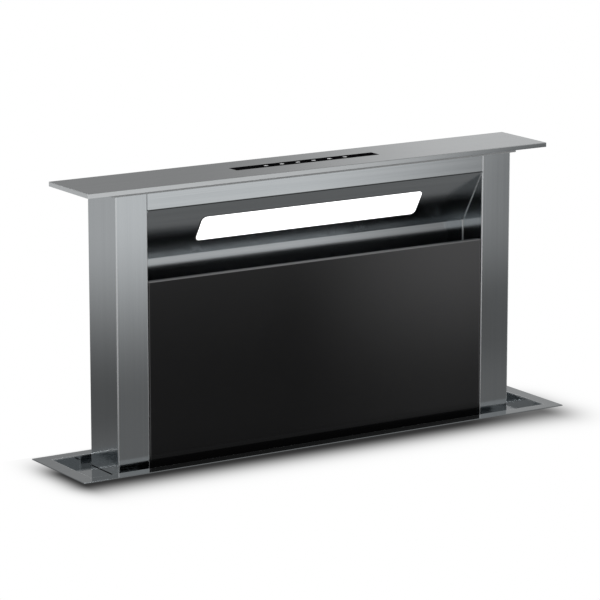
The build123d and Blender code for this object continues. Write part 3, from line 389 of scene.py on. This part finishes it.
# %% Give every node its finish
finish_of_node = {
    "left_column": steel_column, "right_column": steel_column, "rear_panel": steel_column,
    "cap_plate": steel_cap, "worktop_flange": steel_flange, "touch_glass": strip.material,
    "intake_back_wall": steel_inner, "light_fascia": steel_sheet, "cap_seal": grey_rubber,
    "glass_frame": finish_of_slot["motor_steel"],
}
for part in frame["record"]["subparts"]:
    name, slot = part["node"], part["material_slot"]
    worn_by_node = nodes[name].data.materials
    worn_by_node.clear()
    worn_by_node.append(finish_of_node.get(name) or finish_of_slot[slot])
print("dressed", len(nodes), "nodes")

# %% [markdown]
# ## Pieces from loops of points
# Thin trim is a row of closed outlines, each joined to the next. `lofted` joins them and
# either closes the last to the first, as on a gasket, or caps both ends, as on a pressed bead.
# Normals are recalculated so that every face points outwards.

# %% A mesh through a row of outlines
def lofted(name, loops, body, slot, finish=None, ring=False):
    made = bmesh.new()
    rows = [[made.verts.new(point) for point in loop] for loop in loops]
    count = len(rows[0])
    pairs = list(zip(rows, rows[1:])) + ([(rows[-1], rows[0])] if ring else [])
    for one, two in pairs:
        for n in range(count):
            made.faces.new((one[n], one[(n + 1) % count], two[(n + 1) % count], two[n]))
    if not ring:
        made.faces.new(rows[0][::-1])
        made.faces.new(rows[-1])
    bmesh.ops.recalc_face_normals(made, faces=made.faces)
    mesh = bpy.data.meshes.new(name)
    made.to_mesh(mesh)
    made.free()
    mesh.materials.append(finish or finish_of_slot[slot])
    piece = into_scene(name, mesh)
    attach(piece, body)

def rounded(width, height, radius, steps=6):
    """A rounded rectangle's outline round the origin, as (u, v) pairs."""
    points = []
    for quarter, (sx, sy) in enumerate(((1, 1), (-1, 1), (-1, -1), (1, -1))):
        for n in range(steps + 1):
            turn = math.radians(90 * (quarter + n / steps))
            points.append((sx * (width / 2 - radius) + radius * math.cos(turn),
                           sy * (height / 2 - radius) + radius * math.sin(turn)))
    return points

# %% [markdown]
# ## The gasket round the light
# A thin black gasket lies between the window's cut edge and the opal panel, and shows as a
# dark outline, widest at the foot and the left end, where its lip is. The slanted sheet's
# plane comes from its node's box: its upper edge is the rail's foot, and its lower edge meets
# the back wall.

# %% The slanted plane
BACK_WALL_Y = 11.5 * mm
fascia_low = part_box("light_fascia")[0]
rail_foot = Vector((0, fascia_low.y, RAIL_FOOT))
sheet_foot = Vector((0, BACK_WALL_Y, fascia_low.z))
slope_middle = (rail_foot + sheet_foot) / 2
up_slope = (rail_foot - sheet_foot).normalized()
out_of_sheet = RIGHT.cross(up_slope)

def on_slope(u, v, rise):
    return slope_middle + RIGHT * u + up_slope * v + out_of_sheet * rise

# %% The gasket on it
WINDOW = (436 * mm, 52 * mm, 9 * mm)  # width, height and corner radius
GASKET = ((-0.7, -0.2, 0), (-0.7, 0.2, 0), (-0.4, 0.35, 0),
          (0.8, 0.35, -0.7), (1.1, 0.1, -0.8), (1.1, -0.2, -0.8))  # millimetres

def window_loop(grow, rise, slip):
    """The window's outline, grown all round, raised off the sheet and slipped to one side."""
    width, height, radius = (size + grow * part for size, part in zip(WINDOW, (2, 2, 1)))
    return [on_slope(u + slip, v + slip, rise) for u, v in rounded(width, height, radius)]

lofted("light_gasket", [window_loop(*(part * mm for part in loop)) for loop in GASKET],
       "tower", "black_rubber", ring=True)
print("gasket faces out along", [round(v, 3) for v in out_of_sheet])

# %% [markdown]
# ## Welded corners
# Inside the intake the slanted sheet and the back wall are welded to the columns, and the
# weld is ground to a small cove that catches the lamps; its steel, much lighter than the
# sheets, is a painted highlight. Each cove is a concave section drawn along its corner.

# %% A cove along a corner
LEG, ARC_STEPS = 1.7 * mm, 4

def cove(name, start, end, along_one, along_two):
    loops = []
    for corner in (start, end):
        arc = []
        for n in range(ARC_STEPS + 1):
            turn = math.radians(90 * n / ARC_STEPS)
            arc.append(corner + along_one * LEG * (1 - math.sin(turn))
                       + along_two * LEG * (1 - math.cos(turn)))
        loops.append([corner, *arc])
    lofted(name, loops, "tower", "brushed_steel", seam_steel_highlit)

wall_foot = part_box("intake_back_wall")[0].z + 1.2 * mm
for word, side in SIDES:
    bay = RIGHT * side * column_low.x
    cove(f"{word}_slant_weld", bay + rail_foot, bay + sheet_foot, RIGHT * -side, out_of_sheet)
    cove(f"{word}_wall_weld", bay + sheet_foot, bay + BACK * sheet_foot.y + UP * wall_foot,
         RIGHT * -side, -BACK)

# %% [markdown]
# ## Pressed beads
# Large thin sheets drum when a fan runs behind them, so the maker presses long beads into
# them. Each is four stadium outlines, one above the other: a sunk foot, the sheet's face, a
# shoulder and a crown.

# %% Beads on the housing's sheets
BEAD_WIDTH, BEAD_HEIGHT = 14 * mm, 1.3 * mm
BEAD_LOOPS = ((0, -0.3 * mm), (0, 0.2 * mm), (1.6 * mm, 0.8 * BEAD_HEIGHT),
              (4.0 * mm, BEAD_HEIGHT))  # inset from the bead's foot, and rise

def bead(name, middle, along, facing, length):
    across = facing.cross(along)
    loops = []
    for inset, rise in BEAD_LOOPS:
        width = BEAD_WIDTH - 2 * inset
        outline = rounded(length - 2 * inset, width, width / 2 - 0.01 * mm, 5)
        loops.append([middle + along * u + across * v + facing * rise for u, v in outline])
    lofted(name, loops, "housing", "galvanised_steel")

ACROSS_LENGTH, UPRIGHT_LENGTH = 700 * mm, 380 * mm
BACK_LEVELS, FRONT_LEVELS, SIDE_LEVEL = (-120, -240, -360, -480, -600), (-80, -150), -290
back_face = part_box("rear_panel")[1].y + 8.4 * mm
front_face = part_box("blower_box")[1].y
side_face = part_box("right_side_panel")[1].x
for word, face, way, levels in (("back", back_face, BACK, BACK_LEVELS),
                                ("front", front_face, -BACK, FRONT_LEVELS)):
    for n, level in enumerate(levels):
        bead(f"{word}_bead_{n + 1}", Vector((0, face, level * mm)), RIGHT, way, ACROSS_LENGTH)
for word, side in SIDES:
    bead(f"{word}_side_bead", Vector((side * side_face, 0, SIDE_LEVEL * mm)), UP, RIGHT * side,
         UPRIGHT_LENGTH)
print("nine beads on the housing")

# %% [markdown]
# ## What repeats: screws, spot welds, wires and belt teeth
# Geometry Nodes put one small shape on every point of a seed mesh. Each seed carries the way
# it faces, and for a rod its length. The tree has named inputs, ends in Realize Instances and
# Set Material, and is baked to a plain mesh, one for each body.

# %% A geometry tree with named inputs
class Repeat(Tree):
    def __init__(self, name, sizes):
        group = bpy.data.node_groups.new(name, "GeometryNodeTree")
        super().__init__(group)
        face = group.interface
        face.new_socket("Seeds", in_out="INPUT", socket_type="NodeSocketGeometry")
        for label, value in sizes.items():
            kind = "NodeSocketInt" if isinstance(value, int) else "NodeSocketFloat"
            face.new_socket(label, in_out="INPUT", socket_type=kind).default_value = value
        face.new_socket("Finish", in_out="INPUT", socket_type="NodeSocketMaterial")
        face.new_socket("Pieces", in_out="OUTPUT", socket_type="NodeSocketGeometry")
        inputs = self.nodes.new("NodeGroupInput").outputs
        self.given = {socket.name: Field(self, socket) for socket in inputs if socket.name}
        self.result = self.nodes.new("NodeGroupOutput").inputs[0]

    def shape(self, kind, settings, sockets):
        return self.node(kind, settings, sockets).outputs[0]

    def seed_value(self, name, kind):
        return self.shape("GeometryNodeInputNamedAttribute", {"data_type": kind}, {"Name": name})

    def on_seeds(self, instance, **sockets):
        """The instance on every seed, turned so that its Z faces as the seed says."""
        facing = self.shape("FunctionNodeAlignRotationToVector", {"axis": "Z"},
                            {"Vector": self.seed_value("facing", "FLOAT_VECTOR")})
        return self.shape("GeometryNodeInstanceOnPoints", None,
                          {"Points": self.given["Seeds"], "Instance": instance,
                           "Rotation": facing, **sockets})

    def close(self, instances):
        real = self.shape("GeometryNodeRealizeInstances", None, {0: instances})
        painted = self.shape("GeometryNodeSetMaterial", None,
                             {"Geometry": real, "Material": self.given["Finish"]})
        self.plug(self.result, painted)

# %% [markdown]
# A head is a disc raised four times: a straight side, a domed top, the socket's rim, and the
# socket itself, which goes back down. Each is turned by a random angle with a fixed seed.

# %% A round head with a socket, for screws and spot welds
heads = Repeat("round_heads", {"Radius": 3 * mm, "Height": 1.6 * mm, "Hollow": 0.5,
                               "Corners": 12, "Seed": 7})
given = heads.given
RAISED = ((0.55, 0.94), (0.45, 0.70), (0.0, given["Hollow"]), (-0.5, 0.9))  # rise and shrink
plate = heads.shape("GeometryNodeMeshCircle", {"fill_type": "NGON"},
                    {"Vertices": given["Corners"], "Radius": given["Radius"]})
foot = heads.shape("GeometryNodeFlipFaces", None, {0: plate})
head, top = plate, {}
for rise, shrink in RAISED:
    raised = heads.node("GeometryNodeExtrudeMesh", {"mode": "FACES"},
                        {"Mesh": head, "Offset Scale": given["Height"] * rise, **top})
    top = {"Selection": raised.outputs[1]}
    head = heads.shape("GeometryNodeScaleElements", {"domain": "FACE"},
                       {"Geometry": raised.outputs[0], "Scale": shrink, **top})
closed = heads.node("GeometryNodeJoinGeometry")
for half in (head, foot):
    heads.links.new(half, closed.inputs[0])
whole = heads.shape("GeometryNodeMergeByDistance", None,
                    {0: closed.outputs[0], "Distance": 0.001 * mm})
spin = heads.field("FunctionNodeRandomValue", {"data_type": "FLOAT"},
                   {2: 0.0, 3: 6.283, "Seed": given["Seed"]}, 1)
turned = heads.shape("ShaderNodeCombineXYZ", None, {2: spin})
heads.close(heads.shape("GeometryNodeRotateInstances", None,
                        {"Instances": heads.on_seeds(whole), "Rotation": turned,
                         "Local Space": True}))

# %% A thin rod, for wires and belt teeth
rods = Repeat("round_rods", {"Thickness": 0.9 * mm, "Sides": 6})
given = rods.given
rod = rods.shape("GeometryNodeMeshCylinder", {"fill_type": "NGON"},
                 {"Vertices": given["Sides"], "Radius": given["Thickness"] * 0.5, "Depth": 1.0})
as_long = rods.shape("ShaderNodeCombineXYZ", None,
                     {0: 1.0, 1: 1.0, 2: rods.seed_value("length", "FLOAT")})
rods.close(rods.on_seeds(rod, Scale=as_long))

# %% Seeds, and a tree baked on them
def seed(x, y, z, facing, length=1.0):
    return (x, y, z), facing, length

def baked(name, tree, seeds, body, slot, **sizes):
    places, facings, lengths = zip(*seeds)
    mesh = bpy.data.meshes.new(name)
    mesh.from_pydata(places, [], [])
    facing = mesh.attributes.new("facing", "FLOAT_VECTOR", "POINT")
    facing.data.foreach_set("vector", [part for way in facings for part in way])
    mesh.attributes.new("length", "FLOAT", "POINT").data.foreach_set("value", lengths)
    piece = into_scene(name, mesh)
    grown = piece.modifiers.new("grow", "NODES")
    grown.node_group = tree.tree
    values = {**sizes, "Finish": finish_of_slot[slot]}
    for item in tree.tree.interface.items_tree:
        if item.in_out == "INPUT" and item.name in values:
            grown[item.identifier] = values[item.name]
    solid = piece.evaluated_get(bpy.context.evaluated_depsgraph_get())
    plain = bpy.data.meshes.new_from_object(solid)
    piece.modifiers.remove(grown)
    piece.data = plain
    plain.name = name
    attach(piece, body)
    print(name, len(seeds), "seeds,", len(plain.polygons), "faces")

# %% Screws on the tower's back and the glass frame
# The tower's screws are countersunk: the wiper passes 0.25 mm from its back.
tower_high, bars_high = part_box("rear_panel")[1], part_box("glass_frame")[1]
rear = [seed(side * (tower_high.x - 9 * mm), tower_high.y, z, BACK)
        for side in (-1, 1) for z in spread(0.03, 0.435, 5)]
rear += [seed(x, tower_high.y, 0.445, BACK) for x in spread(-0.2, 0.2, 3)]
baked("tower_screws", heads, rear, "tower", "bright_steel", Radius=3.2 * mm, Height=0.2 * mm)

BARS_FOOT = -0.019
bars = [seed(side * (bars_high.x - 11 * mm), bars_high.y, z, BACK)
        for side in (-1, 1) for z in spread(BARS_FOOT, 0.250, 4)]
bars += [seed(x, bars_high.y, BARS_FOOT, BACK) for x in spread(-0.16, 0.16, 3)]
baked("glass_frame_screws", heads, bars, "front_glass", "bright_steel",
      Radius=2.6 * mm, Height=1.2 * mm)

# %% Screws on the housing, the lid, the blower, the lift's drive and the collar
LID_INSET, BLOWER_INSET, EDGE_X = 11 * mm, 6 * mm, 404 * mm
GEAR_SPACING, MOTOR_SPACING = 18 * mm, 10 * mm
COLLAR_SCREWS, COLLAR_CIRCLE = 8, 79.5 * mm

def round_the_edge(low, high, inset, across, up, y):
    """Screws along the edges of a sheet that faces the front."""
    xs = spread(low.x + inset, high.x - inset, across)
    zs = spread(low.z + inset, high.z - inset, up)
    return [seed(x, y, z, -BACK) for x in xs for z in zs
            if x in (xs[0], xs[-1]) or z in (zs[0], zs[-1])]

lid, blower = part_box("control_lid"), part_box("blower_box")
gearbox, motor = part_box("lift_gearbox"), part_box("lift_motor")
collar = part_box("outlet_collar")
_, gear_y, gear_z = midpoint(gearbox)
_, collar_y, collar_z = midpoint(collar)
motor_x = midpoint(motor)[0]
screws = round_the_edge(*lid, LID_INSET, 2, 2, lid[0].y)
screws += round_the_edge(*blower, BLOWER_INSET, 5, 5, blower[1].y - 1.2 * mm)
screws += [seed(side * EDGE_X, face, z, way) for side in (-1, 1)
           for face, way in ((front_face, -BACK), (back_face, BACK))
           for z in spread(-0.05, -0.63, 7)]
screws += [seed(gearbox[1].x, gear_y + a * GEAR_SPACING, gear_z + b * GEAR_SPACING, RIGHT)
           for a in (-1, 1) for b in (-1, 1)]
screws += [seed(motor_x + a * MOTOR_SPACING, gear_y, motor[1].z, UP) for a in (-1, 1)]
for n in range(COLLAR_SCREWS):
    turn = math.radians(360 / COLLAR_SCREWS * (n + 0.5))
    screws.append(seed(collar[0].x + 1.2 * mm, collar_y + COLLAR_CIRCLE * math.cos(turn),
                       collar_z + COLLAR_CIRCLE * math.sin(turn), RIGHT))
baked("housing_screws", heads, screws, "housing", "bright_steel",
      Radius=3.0 * mm, Height=1.4 * mm)

# %% Spot welds along the bottom pan and the blower box
pan_low, pan_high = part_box("bottom_pan")
welds = [seed(x, face, pan_low.z + 8 * mm, way) for x in spread(-0.38, 0.38, 16)
         for face, way in ((pan_low.y, -BACK), (pan_high.y, BACK))]
welds += [seed(side * (blower[1].x - 12 * mm), y, z, RIGHT * side) for side in (-1, 1)
          for y in spread(-0.215, -0.07, 6) for z in (-0.585, -0.243)]
baked("housing_spot_welds", heads, welds, "housing", "galvanised_steel",
      Radius=2.8 * mm, Height=0.35 * mm, Hollow=0.8, Corners=14)

# %% The wires in front of and behind each filter's core
WIRES_X, WIRES_Z = (0.0155, 0.3135), (-0.015, 0.2385)
CORE_FACES = ((-14.5 * mm, -1), (-9.5 * mm, 1))

def filter_wires(side):
    middle_x, middle_z = sum(WIRES_X) / 2, sum(WIRES_Z) / 2
    width, height = WIRES_X[1] - WIRES_X[0], WIRES_Z[1] - WIRES_Z[0]
    seeds = []
    for face, out in CORE_FACES:
        seeds += [seed(side * x, face + out * 0.35 * mm, middle_z, UP, height)
                  for x in spread(*WIRES_X, 68)]
        seeds += [seed(side * middle_x, face + out * 0.95 * mm, z, RIGHT, width)
                  for z in spread(*WIRES_Z, 58)]
    return seeds

for word, side in SIDES:
    baked(f"{word}_filter_wires", rods, filter_wires(side), "tower", "aluminium",
          Thickness=0.7 * mm)

# %% The belts' teeth, on the two straight runs of each belt
BELT, TOOTH, TOOTH_LENGTH = 1.8 * mm, 2.2 * mm, 9.6 * mm
belt_low, belt_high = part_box("lift_belts")
runs = (belt_low.y + BELT - TOOTH / 2 + 0.22 * mm, belt_high.y - BELT + 0.1 * mm)
teeth = [seed(side * (belt_high.x - 5 * mm), y, z, RIGHT, TOOTH_LENGTH)
         for side in (-1, 1) for z in spread(-0.598, -0.06, 108) for y in runs]
baked("belt_teeth", rods, teeth, "housing", "black_rubber", Thickness=TOOTH, Sides=8)

# %% [markdown]
# ## The studio
# The vent sits in a white worktop, which is the floor here. The worktop ends just behind the
# flange, so that from the back the whole machine under it can be seen. To the camera the
# floor is white, with a soft shadow that hugs the flange: it is laid by distance from the
# flange, and an Ambient Occlusion node adds what stands on it. Metal mirrors the floor as
# what it is in such a studio: bright far off, and dark close to the vent.

# %% A floor with a cut-out for the vent
WHITE = (1, 1, 1, 1)
FLOOR_LEVEL, FLOOR_BACK = -0.3 * mm, flange_high.y + 12 * mm
FLOOR_HALF = (30.0, 30.0)
HOLE_HALF = (RECESS[0] + 2 * mm, RECESS[1] + 2 * mm)
floor_mesh = bpy.data.meshes.new("studio_floor")
corners = [(a * half[0], b * half[1], FLOOR_LEVEL) for half in (FLOOR_HALF, HOLE_HALF)
           for a, b in ((-1, -1), (1, -1), (1, 1), (-1, 1))]
sides = [(n, (n + 1) % 4, 4 + (n + 1) % 4, 4 + n) for n in range(4)]
floor_mesh.from_pydata(corners, [], sides)
floor = into_scene("studio_floor", floor_mesh)

# %% Who looks at the floor or the room
def seen_by(tree):
    """1 for rays from the camera, and 1 for rays that come by way of metal or glass."""
    ray = tree.node("ShaderNodeLightPath").outputs
    glossy, transmitted = (Field(tree, ray[kind]) for kind in
                           ("Is Glossy Ray", "Is Transmission Ray"))
    return Field(tree, ray["Is Camera Ray"]), glossy.high(transmitted)

paper = bpy.data.materials.new("studio_paper")
floor_mesh.materials.append(paper)
stage = Tree(cleared(paper))
sees, mirrors = seen_by(stage)
spot_x, spot_y, _ = stage.axes(stage.node("ShaderNodeTexCoord").outputs["Object"])

# %% The shadow, for the camera
# It fades outwards from a box: a few millimetres before the flange's front, level with its
# left edge, and short of its right and back edges. To the right it is wider and paler.
SHADOW_LEFT, SHADOW_RIGHT, SHADOW_BACK = -0.476, 0.420, -0.0236
FADE_LEFT, FADE_RIGHT, FADE_BACK = 0.034, 0.056, 0.0736
far_right = spot_x.eased(0.25, 0.42)
shadow_front = -0.093 - 0.0045 * spot_x.eased(-0.40, 0.10)
fade_front = 0.0623 + 0.009 * far_right
past_left = (SHADOW_LEFT - spot_x) * (1 / FADE_LEFT)
past_right = (spot_x - SHADOW_RIGHT) * (1 / FADE_RIGHT)
past_front = (shadow_front - spot_y) / fade_front
past_back = (spot_y - SHADOW_BACK) * (1 / FADE_BACK)
past_x, past_y = past_left.high(past_right).high(0.0), past_front.high(past_back).high(0.0)
darkness = (0 - past_x * past_x - past_y * past_y).math("EXPONENT")
laid_shadow = 1 - (0.965 - 0.11 * far_right) * darkness
closeness = stage.field("ShaderNodeAmbientOcclusion", {"samples": 16}, {"Distance": 0.10}, "AO")
soft_white = laid_shadow * (0.9 + 0.1 * closeness.eased(0.3, 0.95))

# %% The light that metal mirrors in the floor
# It grows with distance from the vent, and is less behind it and at the front right, there
# most of all far off.
away = hypotenuse((abs(spot_x) - 0.45).high(0.0), (abs(spot_y) - 0.08).high(0.0))
to_side = spot_x / abs(spot_y).high(0.02)
open_side = 1 - 0.62 * to_side.eased(0.60, 0.95) * spot_y.eased(-0.15, -0.90)
far_side = 1 - 0.26 * to_side.eased(0.83, 0.92) * spot_y.eased(-1.2, -1.9)
behind = 1 - 0.32 * spot_y.eased(0.0, 0.3)
mirrored = (0.19 + 0.71 * away.eased(0.35, 1.85)) * open_side * far_side * behind

# %% The floor's shader
matt = stage.node("ShaderNodeBsdfDiffuse", None, {"Color": (0.8, 0.8, 0.8, 1)})
own = stage.node("ShaderNodeEmission", None,
                 {"Color": WHITE, "Strength": sees * soft_white + mirrors * mirrored})
clear = stage.node("ShaderNodeBsdfTransparent")
seen = stage.node("ShaderNodeMixShader", None,
                  {0: sees.high(mirrors), 1: matt.outputs[0], 2: own.outputs[0]})
in_front = mirrors.high(spot_y.math("LESS_THAN", FLOOR_BACK))
cut = stage.node("ShaderNodeMixShader", None,
                 {0: in_front, 1: clear.outputs[0], 2: seen.outputs[0]})
stage.node("ShaderNodeOutputMaterial", None, {"Surface": cut.outputs[0]})
print("the floor's shader has", len(stage.nodes), "nodes")

# %% [markdown]
# The room is white to the camera, and plain light to paint and rubber. Metal sees it grey at
# the back, brighter there at the right and low down, where the cap's top mirrors it, even at
# the front and dimmer overhead.

# %% A white room
AT_FRONT, PLAIN_LIGHT = 0.5, 0.6
world = bpy.data.worlds.new("studio_room")
bpy.context.scene.world = world
room = Tree(cleared(world))
sees, mirrors = seen_by(room)
way_x, way_y, way_z = room.axes(room.node("ShaderNodeTexCoord").outputs["Generated"])
rightwards = (way_x / way_y.high(0.05)).eased(0.59, 0.71)
near_horizon = way_z.eased(0.235, 0.165)
at_back = 0.34 + rightwards * (0.08 + 0.34 * near_horizon)
overhead = 1 - 0.45 * way_z.eased(0.35, 0.80)
mirrored = (at_back + (AT_FRONT - at_back) * way_y.eased(0.3, -0.1)) * overhead
strength = sees + (1 - sees) * (mirrors * mirrored + (1 - mirrors) * PLAIN_LIGHT)
sky = room.node("ShaderNodeBackground", None, {"Color": WHITE, "Strength": strength})
room.node("ShaderNodeOutputWorld", None, {"Surface": sky.outputs[0]})

# %% [markdown]
# Three soft lamps light the vent. The steel mirrors only the one above the left, which draws
# the thin light lines on bends and rims. The two low front ones light paint, rubber and the
# printed glass; mirrored, each would stand as a hard white patch on the cap.

# %% Soft lamps
def soft_lamp(name, place, target, size, watts, mirrored_in_steel=False):
    data = bpy.data.lights.new(name, "AREA")
    data.shape, data.energy = "RECTANGLE", watts
    data.size, data.size_y = size
    lamp = into_scene(name, data)
    lamp.location = place
    aim = Vector(target) - Vector(place)
    lamp.rotation_euler = aim.to_track_quat("-Z", "Y").to_euler()
    lamp.visible_glossy = mirrored_in_steel

soft_lamp("lamp_over_left", place=(-1.6, 0.9, 2.4), target=(0, 0, 0.2), size=(1.6, 1.2),
          watts=28, mirrored_in_steel=True)
soft_lamp("lamp_front_left", place=(-2.75, -1.55, 0.8), target=(0, 0, 0.25), size=(1.0, 1.0),
          watts=27)
soft_lamp("lamp_front_right", place=(2.7, -1.8, 0.8), target=(0, 0, 0.25), size=(1.0, 1.0),
          watts=14)
print(len(bpy.data.lights), "lamps")

# %% [markdown]
# ## The camera
# Thirty points of the vent, measured on the picture, fix where the camera stood: over five
# metres away, to the left and a little above, with a long lens.

# %% Camera
SENSOR, PICTURE, FOCAL = 36.0, 600, 3367.6  # millimetres, and then two lengths in pixels
camera_data = bpy.data.cameras.new("studio_camera")
camera_data.sensor_width, camera_data.lens = SENSOR, SENSOR * FOCAL / PICTURE
camera_data.clip_start, camera_data.clip_end = 0.1, 100.0
camera = into_scene("studio_camera", camera_data)
bpy.context.scene.camera = camera
turn, tilt = math.radians(32.476), math.radians(12.416)
camera.location = (-2.97565, -4.65768, 1.4455)
aim = Vector((math.sin(turn) * math.cos(tilt), math.cos(turn) * math.cos(tilt), -math.sin(tilt)))
camera.rotation_euler = aim.to_track_quat("-Z", "Y").to_euler()
bpy.context.scene.view_settings.view_transform = "Standard"
print("camera", round(camera.location.length, 2), "m away, lens", round(camera_data.lens), "mm")
